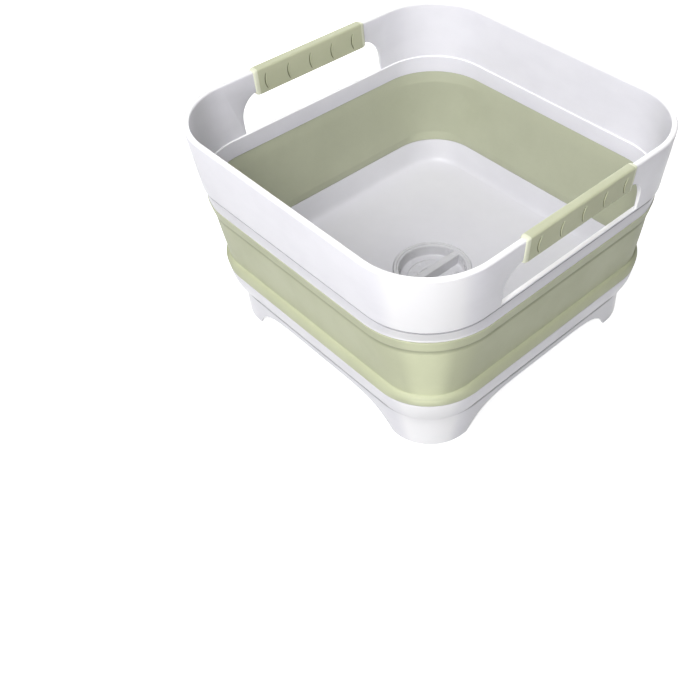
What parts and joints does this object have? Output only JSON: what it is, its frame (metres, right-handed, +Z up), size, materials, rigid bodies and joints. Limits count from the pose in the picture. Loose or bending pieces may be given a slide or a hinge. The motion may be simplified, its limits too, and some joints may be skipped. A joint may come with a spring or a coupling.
{
  "type": "collapsible washbasin",
  "caption": "Square basin with a rigid slotted rim frame, a soft wall that folds down over its legged base, and a turning lift-out drain plug.",
  "frame": {"origin": "on the ground under the middle of the basin", "axes": "+Z up out of the basin's mouth; +X and -X point out of the two handle sides, +Y and -Y out of the two plain sides"},
  "size_m": [0.3176, 0.3148, 0.2039],
  "materials": {
    "white_plastic": "satin white polypropylene",
    "green_rubber": "soft matt sage green",
    "grey_rubber": "soft matt grey"
  },
  "bodies": {
    "base": {"base_tray": "white_plastic", "bellows": "green_rubber"},
    "frame": {"rim_frame": "white_plastic", "grip_left": "green_rubber", "grip_right": "green_rubber"},
    "gasket": {"plug_gasket": "grey_rubber"},
    "plug": {"drain_plug": "white_plastic"}
  },
  "joints": [
    {"name": "collapse", "type": "slide", "parent": "base", "child": "frame", "axis": [0, 0, -1], "range_m": [0, 0.128], "deforming": ["bellows"]},
    {"name": "plug_lift", "type": "slide", "parent": "base", "child": "gasket", "axis": [0, 0, 1], "range_m": [0, 0.08]},
    {"name": "plug_twist", "type": "hinge", "parent": "gasket", "child": "plug", "pos_m": [0, 0, 0.042], "axis": [0, 0, 1], "range_deg": [0, 90]}
  ]
}
